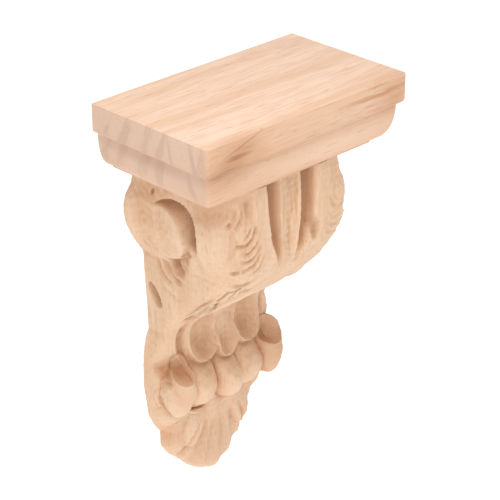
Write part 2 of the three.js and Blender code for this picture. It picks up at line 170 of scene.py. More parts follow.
def soft(start, end, value):
    """0 before start, 1 after end, and a smooth step between them."""
    t = np.clip((value - start) / (end - start), 0, 1)
    return t * t * (3 - 2 * t)


def along(stations, place):
    """A smooth curve through (place, value) stations that never overshoots them."""
    places, values = np.array(stations, float).T
    span = np.diff(places)
    slope = np.diff(values) / span
    before, after = slope[:-1], slope[1:]
    bends = before * after > 0
    total = np.where(bends, before + after, 1)
    tangent = np.concatenate([slope[:1], np.where(bends, 2 * before * after / total, 0), slope[-1:]])
    held = np.clip(place, places[0], places[-1])
    i = np.clip(np.searchsorted(places, held, side="right") - 1, 0, len(span) - 1)
    h = span[i]
    t = (held - places[i]) / h
    start = values[i] * (1 + 2 * t) * (1 - t) ** 2 + tangent[i] * h * t * (1 - t) ** 2
    end = values[i + 1] * t * t * (3 - 2 * t) + tangent[i + 1] * h * t * t * (t - 1)
    return start + end


def curve_through(points, steps=6):
    """The points of a Catmull-Rom curve through a few drawn points."""
    drawn = np.array(points, float)
    if len(drawn) < 3:
        return drawn
    padded = np.vstack([2 * drawn[0] - drawn[1], drawn, 2 * drawn[-1] - drawn[-2]])
    curve = []
    for i in range(1, len(padded) - 2):
        a, b, c, d = padded[i - 1:i + 3]
        for t in np.arange(steps) / steps:
            curve.append(0.5 * (2 * b + (c - a) * t + (2 * a - 5 * b + 4 * c - d) * t ** 2
                                + (3 * b - a - 3 * c + d) * t ** 3))
    return np.array(curve + [drawn[-1]])


def nearest_on(line, p, q):
    """Distance from (p, q) to a drawn line, and the share of the line passed there."""
    distance = np.full(np.shape(p), np.inf)
    share = np.zeros(np.shape(p))
    for i, (start, end) in enumerate(zip(line[:-1], line[1:])):
        run = end - start
        t = np.clip(((p - start[0]) * run[0] + (q - start[1]) * run[1]) / (run @ run), 0, 1)
        gap = np.hypot(p - start[0] - t * run[0], q - start[1] - t * run[1])
        closer = gap < distance
        distance = np.where(closer, gap, distance)
        share = np.where(closer, (i + t) / (len(line) - 1), share)
    return distance, share


def stroke(p, q, points, width, cut, fade=0.2):
    """How deep a gouge stroke is at (p, q): round across, with a proud edge and faded ends."""
    distance, share = nearest_on(curve_through(points), p, q)
    across = np.clip(1 - (distance / (width / 2)) ** 2, 0, 1)
    past_edge = distance - width / 2 - PROUD_EDGE_WIDTH
    proud = PROUD_EDGE * np.exp(-(past_edge / PROUD_EDGE_WIDTH) ** 2)
    ends = soft(0, fade, share + BLUNT_END) * soft(0, fade, 1 + BLUNT_END - share)
    return cut * (across - proud) * ends


def away_from(p, q, centre, half, lean=0):
    """1 on the rim of an ellipse that leans by some degrees, less inside, more outside."""
    turn = math.radians(lean)
    dp, dq = p - centre[0], q - centre[1]
    across = (dp * math.cos(turn) - dq * math.sin(turn)) / half[0]
    down = (dp * math.sin(turn) + dq * math.cos(turn)) / half[1]
    return np.hypot(across, down)


def dish(out, power=0.5):
    """A hollow's depth, 1 in its middle and 0 from out = 1 on; less power makes a flatter floor."""
    return np.clip(1 - out ** 2, 0, 1) ** power


middle_of_stroke = stroke(np.array(0.0), np.array(1.0), [(0, 0), (0, 2)], width=2, cut=1)
print("a stroke cut 1 mm deep is", float(middle_of_stroke), "mm deep in its middle")

# %% [markdown]
# Before the ornament, the block is sawn to its outline: wide ears at the top, a straight
# stem, the lower scroll and three scallops seen from the front, and a deep roll, a hollow
# neck and a thin tip seen from the side. The section at each height is a rounded rectangle
# that gets rounder lower down. Heights run down from the underside of the cap.

# %% The sawn block
CAP_HEIGHT = 27.0
GLUE_LINE = 0.3
MOUNT_DROP = 84
BLOCK_TOP = MOUNT_DROP - CAP_HEIGHT - GLUE_LINE
BLOCK_HEIGHT = 145
HALF_WIDTHS = [
    (0, 31.0), (8, 33.2), (13, 36.4), (17, 37.2), (22, 36.6), (30, 33.3), (35, 30.2), (38.6, 28.3),
    (46, 28.0), (71, 26.9), (75, 28.4), (83, 29.8), (93, 30.1), (104, 28.9), (109, 28.2),
    (116, 25.0), (120, 22.4), (125, 22.4), (130, 19.9), (137, 12.9), (141, 9.0), (145, 1.6),
]
DEPTHS = [
    (0, 48.6), (7, 49.2), (20, 49.6), (29, 49.0), (35, 47.0), (40, 44.0), (45, 39.6), (49, 35.4),
    (53, 30.6), (57, 26.4), (61, 21.4), (65, 16.6), (70, 13.0), (76, 11.7), (83, 11.6), (95, 12.6),
    (103, 12.4), (109, 11.2), (115, 10.2), (123, 9.6), (133, 9.6), (138, 9.2), (142, 7.6), (145, 3.6),
]
SQUARENESS = [
    (0, 6), (43, 6), (53, 5.4), (63, 5.2), (73, 5.6), (84, 5.2), (97, 3.6), (106, 2.3), (145, 2.1),
]


def sawn_block(angle, down):
    """The plain form: distance from the middle line and from the wall, and the way it faces."""
    c, s = np.cos(angle), np.sin(angle)
    half, deep, power = along(HALF_WIDTHS, down), along(DEPTHS, down), along(SQUARENESS, down)
    reach = (np.abs(c / half) ** power + np.abs(s / deep) ** power) ** (-1 / power)
    side, depth = np.abs(c) * reach, s * reach
    facing_side = (side / half) ** (power - 1) / half
    facing_front = (depth / deep) ** (power - 1) / deep
    size = np.hypot(facing_side, facing_front)
    return side, depth, facing_side / size, facing_front / size


print("the block is", 2 * max(half for _, half in HALF_WIDTHS), "mm over the ears")

# %% [markdown]
# Each ear is the end of the big scroll. Its rim stands at the wall, a flat round boss lies a
# little behind it, and a deep crescent is hollowed between the boss and the front corner,
# deepest past its middle. Under the boss a few gouge strokes make a small leaf. Nearer the wall
# are one oval gouge cut and a small knot.

# %% Carving on the side faces
EAR_RIM = (1.5, 9.0)
BOSS_TOP = (5, 10)
BOSS_END = (30, 41)
BOSS_FRONT = (33, 38)
BOSS_HALF_WIDTHS = [(0, 30.8), (9, 33.4), (13, 34.8), (21, 34.8), (29, 32.0), (35, 29.6), (39, 28.2)]
BOSS_CENTRE = (16.6, 22.4)
BOSS_SIZE = (10.8, 10.9)
CRESCENT_CENTRE = (23.4, 19.4)
CRESCENT_SIZE = (13.6, 11.4)
CRESCENT_CUT = 0.66
CRESCENT_BACK = (7, 17)
CRESCENT_CORNER = dict(down=(22, 27), depth=(25, 31), share=0.8)
COVE_WALL = 0.56
COVE_WALL_POWER = 0.75
EDGE_GOUGE = dict(centre=(4.9, 55.0), half=(2.5, 5.8), lean=28)
EDGE_GOUGE_CUT = 2.2
KNOT = dict(centre=(11.6, 8.2), half=(0.9, 1.3))
KNOT_CUT = 0.6
FOOT_CUT = 3.0
FOOT_REACH = 8.5
FOOT_STEP = (-0.35, 0.35)
FOOT_BACK = (12.5, 16)
FOOT_FRONT = (23, 31)
FOOT_SHALLOWS = (24, 33)
FOOT_SHALLOWER = 0.45
BOSS_FOOT = [(13.0, 34.8), (16, 34.6), (20, 33.6), (24.5, 31.4), (29, 28.6), (33.6, 24.6)]
SIDE_STROKES = [
    dict(points=[(8.2, 37.4), (9.0, 41.8), (12.2, 45.4), (18.2, 47.8)], width=3.2, cut=1.0, fade=0.3),
    dict(points=[(11.8, 35.6), (12.8, 40.2), (16.4, 43.6), (22.4, 44.8)], width=3.6, cut=1.3, fade=0.3),
    dict(points=[(16.4, 34.4), (18.2, 39.2), (22.8, 41.6)], width=4.8, cut=1.5, fade=0.3),
    dict(points=[(8.6, 46.6), (12.2, 50.6), (17.5, 51.8), (22.8, 49.4)], width=2.6, cut=0.35, fade=0.4),
    dict(points=[(4.6, 27.0), (5.4, 31.5), (7.6, 35.4)], width=2.2, cut=0.35, fade=0.4),
]


def crescent_cove(depth, down):
    """Width of the crescent between boss and corner, and its depth as a share of that width."""
    past_boss = (away_from(depth, down, BOSS_CENTRE, BOSS_SIZE) - 1) * BOSS_SIZE[0]
    to_wall = (1 - away_from(depth, down, CRESCENT_CENTRE, CRESCENT_SIZE)) * CRESCENT_SIZE[0]
    width = np.clip(past_boss, 0, None) + np.clip(to_wall, 0, None) + NOT_ZERO
    share = np.clip(past_boss / width, 0, 1)
    inner = 1 - (1 - share / COVE_WALL) ** 2
    outer = dish((share - COVE_WALL) / (1 - COVE_WALL), COVE_WALL_POWER)
    cove = np.where(share < COVE_WALL, inner, outer)
    corner = soft(*CRESCENT_CORNER["down"], down) * soft(*CRESCENT_CORNER["depth"], depth)
    fade = soft(*CRESCENT_BACK, depth) * (1 - CRESCENT_CORNER["share"] * corner)
    return width, np.where((past_boss > 0) & (to_wall > 0), cove * fade, 0)


def carve_side(depth, down):
    """Height over the plain form on a side face, negative where it is cut in."""
    boss = np.clip(along(HALF_WIDTHS, down) - along(BOSS_HALF_WIDTHS, down), 0, None)
    inside_rim = soft(*EAR_RIM, depth) * (1 - soft(*BOSS_FRONT, depth))
    height = -boss * inside_rim * soft(*BOSS_TOP, down) * (1 - soft(*BOSS_END, down))
    width, cove = crescent_cove(depth, down)
    height -= CRESCENT_CUT * width * cove
    foot = curve_through(BOSS_FOOT)
    under_foot = down - np.interp(depth, foot[:, 0], foot[:, 1])
    step = soft(*FOOT_STEP, under_foot) * soft(*FOOT_BACK, depth) * (1 - soft(*FOOT_FRONT, depth))
    shallower = 1 - FOOT_SHALLOWER * soft(*FOOT_SHALLOWS, depth)
    height -= FOOT_CUT * step * (1 - soft(0, FOOT_REACH, under_foot)) * shallower
    for cut in SIDE_STROKES:
        height -= stroke(depth, down, **cut)
    height -= EDGE_GOUGE_CUT * dish(away_from(depth, down, **EDGE_GOUGE), power=0.6)
    height -= KNOT_CUT * dish(away_from(depth, down, **KNOT))
    return height


print(len(SIDE_STROKES), "strokes on each side face")

# %% [markdown]
# The front of the big scroll has a fluted rib down its middle, sunk a little between two deep
# grooves, and beside each groove is a small eye. An acanthus leaf lies on each side of that, a
# millimetre proud of a plain margin, and is cut up into lobes by curved strokes. The carver cut
# the left half of the leaf deeper than the right one, so each stroke is scaled by how keenly it
# was cut. The eyes are the other way round, with the right one deeper.

# %% Carving on the front of the big scroll
LEAF_EDGE = [
    (0, 28.6), (12, 28.4), (15, 27.8), (19, 26.2), (22, 27.6), (25, 29.2), (29, 29.6), (31, 28.0),
    (33.5, 28.4), (37, 27.8), (42, 27.0), (49, 26.2), (56, 24.6), (63, 22.0),
]
LEAF_STROKES = [
    dict(points=[(21.8, -1), (22.0, 6), (20.8, 13)], width=5.4, cut=1.6, fade=0.5),
    dict(points=[(28.6, 3.6), (28.6, 7.2), (30.2, 9.6), (32.6, 11.0)], width=1.7, cut=1.0, fade=0.3),
    dict(points=[(26.4, 3.8), (26.4, 7.8), (28.2, 10.8), (31.0, 12.6)], width=1.9, cut=1.0, fade=0.3),
    dict(points=[(24.4, 5.0), (24.6, 9.2), (26.6, 12.2), (29.0, 13.6)], width=1.9, cut=1.0, fade=0.3),
    dict(points=[(18.9, 12.6), (19.6, 16.2), (22.0, 19.4), (24.6, 20.0)], width=2.3, cut=1.6, fade=0.4),
    dict(points=[(20.8, 12.2), (21.8, 15.4), (24.6, 17.6)], width=1.5, cut=0.7, fade=0.4),
    dict(points=[(25.9, 22.4), (22.2, 23.8), (18.6, 21.4), (17.8, 18.0)], width=1.9, cut=0.9, fade=0.35),
    dict(points=[(26.4, 26.0), (21.8, 26.8), (17.8, 24.2), (16.6, 19.6)], width=1.9, cut=0.8, fade=0.35),
    dict(points=[(26.8, 30.0), (22.0, 30.2), (17.6, 27.4), (15.6, 21)], width=2.2, cut=0.85, fade=0.4),
    dict(points=[(19.6, 33.8), (16.2, 30.8), (14.2, 24)], width=2.0, cut=0.6, fade=0.4),
    dict(points=[(30.0, 30.2), (27.4, 30.9), (24.2, 30.5)], width=2.1, cut=1.5, fade=0.3),
    dict(points=[(26.6, 36.5), (20, 38.6), (13, 34.6)], width=2.2, cut=1.0, fade=0.5),
    dict(points=[(22, 41.5), (14, 44.0), (7, 40)], width=2.4, cut=0.9, fade=0.5),
    dict(points=[(29.0, 34.6), (28.6, 40.0), (27.0, 46.0), (25.6, 52.0)], width=2.2, cut=0.7, fade=0.3),
]
LEAF_CHIPS = [
    dict(centre=(25.2, 19.8), half=(1.8, 1.0), cut=1.2, power=0.6),
    dict(centre=(22.4, 21.6), half=(3.4, 1.8), cut=0.7, power=0.8),
]
LEAF_STEP = (-0.6, 0.5)
LEAF_FOOT = (56, 66)
RIB_SINK = 2.0
RIB_EDGE = (0.6, 1.5)
RIB_FLUTE_CUT = 0.9
RIB_FLUTE_HALF_WIDTH = 3.8
RIB_BEAD = dict(rise=0.5, place=-1.2, width=0.25)
GROOVE_CUT = 2.8
GROOVE_FOOT = (24, 37)
GROOVE_PLACES = [(0, 8.9), (15, 8.3), (25, 6.8), (33, 4.6), (39, 3.2)]
GROOVE_HALF_WIDTHS = [(0, 3.3), (15, 3.0), (29, 2.0), (37, 1.3)]
GROOVE_EYE = dict(centre=(11.2, 24.6), half=(2.3, 5.4), lean=10)
GROOVE_EYE_CUT = 2.2
GROOVE_EYE_EASED = 1.6
LEAF_TIP = dict(centre=(25.0, 54.0), half=(5.6, 4.6))
LEAF_TIP_RISE = 2.8


def groove_at(side, down):
    """How far a place is from the middle of the groove beside the rib, in half widths."""
    return (side - along(GROOVE_PLACES, down)) / along(GROOVE_HALF_WIDTHS, down)


def carve_front(side, down, keen):
    """Height over the plain form on the front of the big scroll; keen is how deep it is cut."""
    live = 1 - soft(*GROOVE_FOOT, down)
    groove = groove_at(side, down)
    height = -RIB_SINK * live * (1 - soft(*RIB_EDGE, groove))
    height -= GROOVE_CUT * live * dish(groove, power=0.75)
    height += RIB_BEAD["rise"] * live * np.exp(-((groove - RIB_BEAD["place"]) / RIB_BEAD["width"]) ** 2)
    height -= RIB_FLUTE_CUT * live * dish(side / RIB_FLUTE_HALF_WIDTH, power=1.0)
    eye_cut = GROOVE_EYE_CUT - GROOVE_EYE_EASED * keen
    height -= eye_cut * dish(away_from(side, down, **GROOVE_EYE), power=0.6)
    height += LEAF_TIP_RISE * dish(away_from(side, down, **LEAF_TIP), power=0.6)
    past_edge = side - along(LEAF_EDGE, down)
    height += (1 - soft(*LEAF_STEP, past_edge)) * (1 - soft(*LEAF_FOOT, down))
    for cut in LEAF_STROKES:
        height -= keen * stroke(side, down, **cut)
    for chip in LEAF_CHIPS:
        out = away_from(side, down, chip["centre"], chip["half"])
        height -= keen * chip["cut"] * dish(out, chip["power"])
    return height


print(len(LEAF_STROKES), "strokes on each half of the leaf")

# %% [markdown]
# Below the neck the leaf turns up in cupped lobes, like spoons held against the block: three
# bowls across the top, three fuller lobes under them, and smaller ones out to the tip. Each
# lobe is an ellipse with a floor and a rim that rises toward its tip.

# %% Carving on the lower leaf
BOWLS = [
    dict(centre=(11.2, 75.4), half=(6.6, 9.4), rise=11.8,
         outer_rim=2.6, inner_rim=5.4, lip=5.0, floor=10.0, edge=3.0),
    dict(centre=(0.0, 79.0), half=(4.8, 8.2), rise=10.4,
         outer_rim=5.4, inner_rim=5.4, lip=4.8, floor=12.4, edge=1.8),
]
BOWL_RIM_FADE = (-0.75, 0.25)
BOWL_TOP_FADE = (-1.1, -0.8)
BOWL_FOOT = (0.2, 1)
BOWL_WALL_POWER = 3.2
PADS = [
    dict(centre=(0.0, 95.6), half=(5.6, 11.4), tip=90, height=10.2),
    dict(centre=(12.2, 95.4), half=(7.4, 11.2), tip=93, height=6.8),
    dict(centre=(24.0, 109.0), half=(5.2, 7.0), tip=62, height=1.6),
    dict(centre=(19.0, 121.0), half=(4.6, 8.0), tip=72, height=1.0),
    dict(centre=(12.4, 118.0), half=(4.6, 9.5), tip=80, height=2.2),
]
PAD_FADE = (-1.2, 0.3)
NECK_GROOVE = dict(points=[(19.8, 64.0), (21.4, 72.0), (21.2, 79.0), (19.0, 87.0)], width=3.4, cut=1.3)
FAN_CENTRE = 94
FAN_HALF_ANGLE = 26
FAN_FLUTES = 5
FAN_START = (20, 30)
FAN_CUT = 0.6


def bowl_height(side, down, centre, half, rise, outer_rim, inner_rim, lip, floor, edge):
    """Height of a bowl turned up from the block, and how much it covers what is under it.

    The hollow is round, and its floor is that far from the wall. Its rim stands inner_rim high
    toward the middle line, outer_rim high away from it and lip high at the foot. The bowl is
    open at the top, and past the rim it falls to the block over the width of its edge.
    """
    across = (side - centre[0]) / half[0]
    to_tip = (down - centre[1]) / np.where(down < centre[1], rise, half[1])
    out = np.hypot(across, to_tip)
    turn_out = np.clip(across / np.maximum(out, NOT_ZERO), -1, 1)
    at_foot = soft(*BOWL_FOOT, to_tip / np.maximum(out, NOT_ZERO))
    rim = inner_rim + (outer_rim - inner_rim) * (turn_out + 1) / 2
    rim = (rim + (lip - rim) * at_foot) * soft(*BOWL_RIM_FADE, to_tip)
    wall = rim * np.clip(out, 0, 1) ** BOWL_WALL_POWER
    hollow = (floor - along(DEPTHS, down)) * dish(out, power=0.6) + wall
    past = np.clip(out - 1, 0, None) * half[0]
    slope = 1 - soft(0, edge, past)
    return np.where(out < 1, hollow, rim * slope), slope * soft(*BOWL_TOP_FADE, to_tip)


def pad_height(side, down, centre, half, tip, height):
    """A full rounded lobe; tip is in degrees from straight out toward straight down."""
    turn = math.radians(tip)
    ds, dd = side - centre[0], down - centre[1]
    to_tip = (ds * math.cos(turn) + dd * math.sin(turn)) / half[1]
    across = (dd * math.cos(turn) - ds * math.sin(turn)) / half[0]
    out = np.hypot(to_tip, across)
    return height * dish(out, power=0.55) * soft(*PAD_FADE, to_tip)


def carve_lower(side, down):
    """Height over the plain form on the lower leaf."""
    height = np.zeros_like(side)
    for pad in PADS:
        height = np.maximum(height, pad_height(side, down, **pad))
    for bowl in BOWLS:
        here, cover = bowl_height(side, down, **bowl)
        height = height + (here - height) * cover
    height -= stroke(side, down, fade=0.3, **NECK_GROOVE)
    away = np.hypot(side, down - FAN_CENTRE)
    angle = np.degrees(np.arctan2(side, down - FAN_CENTRE))
    wave = FAN_CUT * (np.cos(angle / FAN_HALF_ANGLE * FAN_FLUTES * np.pi) - 1)
    return height + np.where(angle < FAN_HALF_ANGLE, wave * soft(*FAN_START, away), 0)


print(len(BOWLS) + len(PADS), "lobes to each half of the lower leaf")

# %% [markdown]
# The lower scrolls are rounded knobs that stand out of the block at both sides. Each is
# scooped out from above like a ladle, so its outer wall stays up as a rim. To find both, a ray
# runs out from the wall through each point of the plain form: the knob is where the ray leaves
# one ball, and the scoop is where it enters another. The left scoop lies further out, so it
# breaks toward the side. On the outside of the scroll a hollow, a slanting ridge and a small
# oval eye are cut.

# %% The lower scrolls
KNOB = dict(centre=(23.8, 13.6), radius=6.2, down=92.4, rise=12.3, drop=13.4)
LADLE = dict(centre=(22.0, 16.2), radius=5.7, down=84.8, rise=7.2, drop=5.0)
LEFT_LADLE = dict(centre=(23.4, 15.6), radius=5.8, down=85.6, rise=6.4, drop=4.4)
SCROLL_RIDGE = [(4.5, 86.0), (17.5, 98.0)]
RIDGE_RISE = dict(height=0.5, place=-0.4, width=0.8)
RIDGE_START = (0, 0.1)
RIDGE_END = (0.8, 1)
SCROLL_HOLLOW_CUT = 2.6
SCROLL_HOLLOW_WALL = (-0.2, 1.2)
SCROLL_HOLLOW_FADE = (3.0, 9.5)
SCROLL_HOLLOW_START = (-0.1, 0.15)
SCROLL_HOLLOW_END = 0.45
SCROLL_EYE = dict(centre=(10.6, 101.0), half=(5.4, 7.2), lean=20)
SCROLL_EYE_RISE = 1.6
SCROLL_EYE_CUT = 1.1
SCROLL_EYE_RIM = 0.72


def ball_on_ray(start, run, height, leaves, centre, radius, down, rise, drop):
    """Where a ray leaves or enters an upright ball, or -1 for a miss, and how squarely it hits."""
    level = 1 - ((height - down) / np.where(height < down, rise, drop)) ** 2
    gap_x, gap_y = centre[0] - start, centre[1]
    middle = run[0] * gap_x + run[1] * gap_y
    inside = middle ** 2 - gap_x ** 2 - gap_y ** 2 + level * radius ** 2
    hit = (level > 0) & (inside > 0)
    root = np.sqrt(np.where(hit, inside, 0))
    return np.where(hit, middle + root if leaves else middle - root, -1), root / radius


def blend_up(first, second, round_off):
    """The larger of two, with the corner between them rounded off."""
    share = np.clip(0.5 + 0.5 * (first - second) / round_off, 0, 1)
    return second + (first - second) * share + round_off * share * (1 - share)


def carve_scroll(depth, down, reach):
    """Height over the lower scroll's outer face; the hollow ends at this share of the ridge."""
    (start_p, start_q), (end_p, end_q) = SCROLL_RIDGE
    length = math.hypot(end_p - start_p, end_q - start_q)
    run = ((end_p - start_p) / length, (end_q - start_q) / length)
    passed = ((depth - start_p) * run[0] + (down - start_q) * run[1]) / length
    above = (depth - start_p) * run[1] - (down - start_q) * run[0]
    beside = soft(*SCROLL_HOLLOW_START, passed) * (1 - soft(reach - SCROLL_HOLLOW_END, reach, passed))
    hollow = soft(*SCROLL_HOLLOW_WALL, above) * (1 - soft(*SCROLL_HOLLOW_FADE, above)) * beside
    ridge = np.exp(-((above - RIDGE_RISE["place"]) / RIDGE_RISE["width"]) ** 2)
    ridge *= soft(*RIDGE_START, passed) * (1 - soft(*RIDGE_END, passed))
    eye = away_from(depth, down, **SCROLL_EYE)
    ball = SCROLL_EYE_RISE * dish(eye, power=0.5) - SCROLL_EYE_CUT * dish(eye / SCROLL_EYE_RIM, power=0.9)
    return RIDGE_RISE["height"] * ridge - SCROLL_HOLLOW_CUT * hollow + ball


print("each knob is", 2 * KNOB["radius"], "mm across")

# %% [markdown]
# The gouge tore some fibres out where it ran against the grain, low on the left of the front,
# and left a slit with a small ridge under the lower leaf. The torn fibres and the knot are
# stained browner. The crescent, the gouge cut, the right eye and the bottom of the grooves get
# painted shade in the same brown, in place of the shade that falls in them. So a share of
# stain and painted shade is worked out for each place.

# %% Torn grain and dark places
TORN_GRAIN = [
    dict(points=[(-26.0, 66.0), (-25.7, 60.0), (-25.4, 54.0)], width=0.9, cut=0.6),
    dict(points=[(-25.0, 61.0), (-24.8, 54.0), (-24.6, 46.0)], width=1.0, cut=0.8),
    dict(points=[(-23.8, 64.0), (-23.5, 57.0), (-23.4, 50.0)], width=0.9, cut=0.8),
    dict(points=[(-22.5, 64.0), (-22.2, 58.0), (-22.0, 47.0)], width=1.1, cut=0.9),
    dict(points=[(-21.2, 62.5), (-20.9, 56.0), (-20.6, 50.0)], width=0.9, cut=0.7),
    dict(points=[(-19.8, 63.0), (-19.5, 55.0), (-19.3, 45.0)], width=1.1, cut=0.9),
    dict(points=[(-18.2, 62.5), (-17.8, 56.5), (-17.5, 50.0)], width=0.9, cut=0.6),
    dict(points=[(-16.6, 62.0), (-16.2, 56.0), (-16.0, 48.0)], width=1.0, cut=0.7),
    dict(points=[(-14.8, 60.5), (-14.6, 55.0), (-14.6, 50.0)], width=0.9, cut=0.5),
    dict(points=[(-23.2, 48.5), (-23.0, 41.0)], width=1.0, cut=0.7),
    dict(points=[(-20.8, 47.0), (-20.6, 40.5)], width=0.9, cut=0.6),
    dict(points=[(-17.9, 46.0), (-17.6, 41.0)], width=0.9, cut=0.5),
    dict(points=[(-22.6, 42.6), (-19.6, 39.6)], width=1.4, cut=0.6),
    dict(points=[(-17.5, 107.0), (-12.5, 108.6), (-8.0, 108.0)], width=1.6, cut=1.5),
    dict(points=[(-16.0, 109.6), (-11.5, 110.8), (-7.5, 110.0)], width=1.2, cut=-0.5),
]
FULL_TEAR = 0.5
# Shares of painted shade in the grooves, the right eye, the gouge cut and the crescent.
RECESS_SHADE = dict(groove=0.55, eye=0.7, gouge=0.7, crescent=0.9)
SHADED_GROOVE_END = (20, 34)
STAIN_AND_SHADE_SIDE = (0.5, 0.8)


def torn_grain(x, down):
    """Depth of the tears in the front, where x runs from left to right."""
    return sum(stroke(x, down, **tear) for tear in TORN_GRAIN)


def stain_and_shade_share(angle, down):
    """Brown share of each place, 0 to 1: stain at tears and knot, painted shade in the recessed cuts."""
    side, depth, facing_side, _ = sawn_block(angle, down)
    x = -np.sign(np.cos(angle)) * side
    on_side = soft(*STAIN_AND_SHADE_SIDE, facing_side)
    torn = np.clip(torn_grain(x, down) / FULL_TEAR, 0, 1)
    groove = RECESS_SHADE["groove"] * dish(groove_at(side, down)) * (1 - soft(*SHADED_GROOVE_END, down))
    eye = RECESS_SHADE["eye"] * soft(0, 1, x) * dish(away_from(side, down, **GROOVE_EYE), power=0.5)
    gouge = RECESS_SHADE["gouge"] * dish(away_from(depth, down, **EDGE_GOUGE), power=0.4)
    knot = soft(0, -1, x) * dish(away_from(depth, down, **KNOT), power=0.4)
    crescent = RECESS_SHADE["crescent"] * crescent_cove(depth, down)[1]
    front_stain_and_shade = np.maximum(torn, np.maximum(groove, eye))
    side_stain_and_shade = np.maximum(crescent, np.maximum(gouge, knot))
    return np.clip((1 - on_side) * front_stain_and_shade + on_side * side_stain_and_shade, 0, 1)


print(len(TORN_GRAIN), "tears")

# %% [markdown]
# Now every cut comes together. A place on the block is given by an angle round it and a height
# down it. The sawn form puts the place somewhere, the lower leaf and the knobs move it along
# its ray from the wall, and the finer cuts move it straight in or out. Each set of cuts fades
# away where the surface turns from the front to the side, so no cut runs round the corner.

# %% The whole carved surface
RAY_SPREAD = 0.15
TOOL_MARK = 0.055
CHATTER_RATES = (2.1, 0.6, 0.23)
CHATTER_SWAYS = (1.7, 0.9)
FACET_RATES = (1.3, 0.31, 0.11)
FACET_SWAYS = (2.2, 0.4)
KEEN_LEFT = 1.0
KEEN_RIGHT = 0.35
SIDE_CUTS = (0.45, 0.75)
FRONT_CUTS_END = (0.5, 0.8)
LOWER_CUTS_END = (0.6, 0.9)
TEARS_END = (0.7, 0.9)
LADLE_EDGE = (0, 0.4)
LADLE_BLEND = 0.8
KNOB_BLEND = dict(top=1.2, more=3.6, down=(85, 92))
SCROLL_FACE_DOWN = (60, 70)
LEFT_SCROLL_FACE = (19, 23)
RIGHT_SCROLL_FACE = (22, 25)
LEFT_HOLLOW_REACH = 1.3
RIGHT_HOLLOW_REACH = 0.95
LEAST_DEPTH = 0.4


def tool_marks(across, down):
    """The slight unevenness that gouge and sanding leave, in millimetres."""
    quick, slow, slowest = CHATTER_RATES
    sway, drift = CHATTER_SWAYS
    chatter = np.sin(quick * down + sway * np.sin(slow * across) + drift * np.sin(slowest * down))
    quick, slow, slowest = FACET_RATES
    sway, drift = FACET_SWAYS
    facets = np.sin(quick * across + sway * np.sin(slow * down) + drift * across * np.sin(slowest * down))
    return TOOL_MARK * (chatter + facets)


def knob_and_scoop(start, run, down, on_left):
    """Distance along each ray to the knob's skin, scooped out by the ladle of its own side."""
    knob, _ = ball_on_ray(start, run, down, True, **KNOB)
    right_ladle = ball_on_ray(start, run, down, False, **LADLE)
    left_ladle = ball_on_ray(start, run, down, False, **LEFT_LADLE)
    ladle, squarely = np.where(on_left, left_ladle, right_ladle)
    scooped = -blend_up(-knob, -ladle, LADLE_BLEND)
    in_scoop = (ladle > 0) & (ladle < knob)
    return np.where(in_scoop, knob + (scooped - knob) * soft(*LADLE_EDGE, squarely), knob)


def carved_surface(angle, down):
    """x, y and z in mm of the carved surface. Angle 0 is the wall edge on -X."""
    side, depth, facing_side, facing_front = sawn_block(angle, down)
    on_left = np.cos(angle) > 0
    outward = -np.sign(np.cos(angle))
    keen = np.where(on_left, KEEN_LEFT, KEEN_RIGHT)
    height = soft(*SIDE_CUTS, facing_side) * carve_side(depth, down)
    height += (1 - soft(*FRONT_CUTS_END, facing_side)) * carve_front(side, down, keen)
    height -= (1 - soft(*TEARS_END, facing_side)) * torn_grain(outward * side, down)
    height += tool_marks(depth + outward * side, down)
    start = side * (1 - RAY_SPREAD)
    length = np.hypot(side - start, depth)
    run = ((side - start) / length, depth / length)
    knob = knob_and_scoop(start, run, down, on_left)
    round_off = KNOB_BLEND["top"] + KNOB_BLEND["more"] * soft(*KNOB_BLEND["down"], down)
    reach = length + (1 - soft(*LOWER_CUTS_END, facing_side)) * carve_lower(side, down)
    reach = np.where(knob > 0, blend_up(reach, knob, round_off), reach)
    out = start + run[0] * reach + facing_side * height
    front = run[1] * reach + facing_front * height
    on_face = np.where(on_left, soft(*LEFT_SCROLL_FACE, out), soft(*RIGHT_SCROLL_FACE, out))
    hollow_reach = np.where(on_left, LEFT_HOLLOW_REACH, RIGHT_HOLLOW_REACH)
    out += on_face * soft(*SCROLL_FACE_DOWN, down) * carve_scroll(front, down, hollow_reach)
    return outward * out, -np.maximum(front, LEAST_DEPTH * depth), BLOCK_TOP - down


_, corner_y, _ = carved_surface(np.array([np.pi / 4]), np.array([20.0]))
print("the left corner stands", round(float(-corner_y[0]), 1), "mm out from the wall, 20 mm down")

# %% [markdown]
# The hollows of the carving get painted shade, browner and darker, and its ridges a painted
# highlight, paler. The shape itself tells where: a place is hollow when the mean of the places
# around it lies further out than it does. This is measured over three distances, each with the
# height that counts as full, and kept with the mesh for the wood's colour to read.

# %% Hollows and ridges
HOLLOW_SCALES = [(2, 0.42), (8, 1.3), (18, 3.4)]
HOLLOW_SUM = 2
AXIS_SHARE = 0.3


def blurred(values, reach):
    """Each value in a grid replaced by the mean of those within reach rows and columns of it."""
    for axis in (0, 1):
        wide = [(0, 0)] * values.ndim
        wide[axis] = (reach + 1, reach)
        total = np.cumsum(np.pad(values, wide, mode="edge"), axis)
        start = np.arange(values.shape[axis])
        window = 2 * reach + 1
        values = (np.take(total, start + window, axis) - np.take(total, start, axis)) / window
    return values


def hollowness(places):
    """How hollow a grid of places is at each one: 1 deep in a hollow and -1 on a ridge."""
    facing = np.cross(np.gradient(places, axis=0), np.gradient(places, axis=1))
    facing /= np.linalg.norm(facing, axis=2, keepdims=True) + 1e-9
    outward = places * (1, 1, 0) - (0, places[..., 1].min() * AXIS_SHARE, 0)
    facing *= np.sign(np.sum(facing * outward, axis=(0, 1, 2)))
    total = 0
    for reach, full in HOLLOW_SCALES:
        total = total + np.sum((blurred(places, reach) - places) * facing, axis=2) / full
    return np.clip(total / HOLLOW_SUM, -1, 1)


print("hollows are measured over", [reach for reach, _ in HOLLOW_SCALES], "rows")
